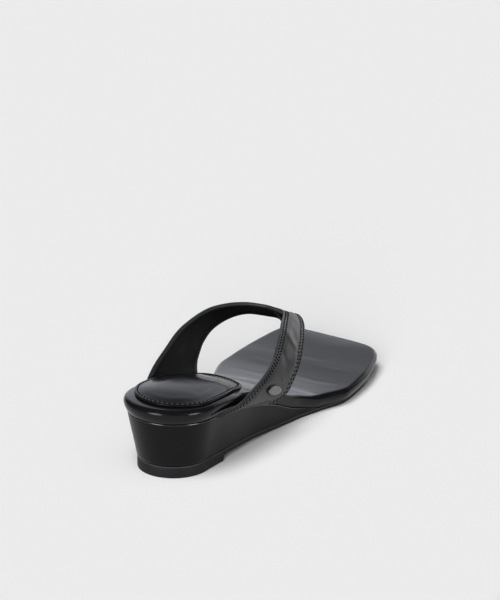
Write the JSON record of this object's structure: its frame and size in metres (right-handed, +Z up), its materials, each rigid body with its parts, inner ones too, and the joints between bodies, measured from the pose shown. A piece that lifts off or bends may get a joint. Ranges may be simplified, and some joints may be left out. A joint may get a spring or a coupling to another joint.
{
  "type": "wedge flip-flop",
  "caption": "Black leather thong sandal for the right foot: a wide V strap on a toe post, square toe, padded heel and a low tapering wedge on a rubber sole.",
  "frame": {"origin": "on the floor, under the middle of the shoe's box", "axes": "+Y towards the toe, +X towards the little-toe side, +Z up"},
  "size_m": [0.0982, 0.2486, 0.0661],
  "materials": {
    "outsole": "matt black",
    "wedge": "smooth black, low sheen",
    "footbed": "soft black with a satin sheen",
    "heel_pad": "soft black with a satin sheen",
    "strap": "soft black with a satin sheen",
    "toe_post": "soft black",
    "stud": "polished"
  },
  "bodies": {
    "root": {"outsole": "outsole", "wedge": "wedge", "footbed": "footbed", "heel_pad": "heel_pad", "strap": "strap", "toe_post": "toe_post", "stud": "stud"}
  },
  "joints": []
}
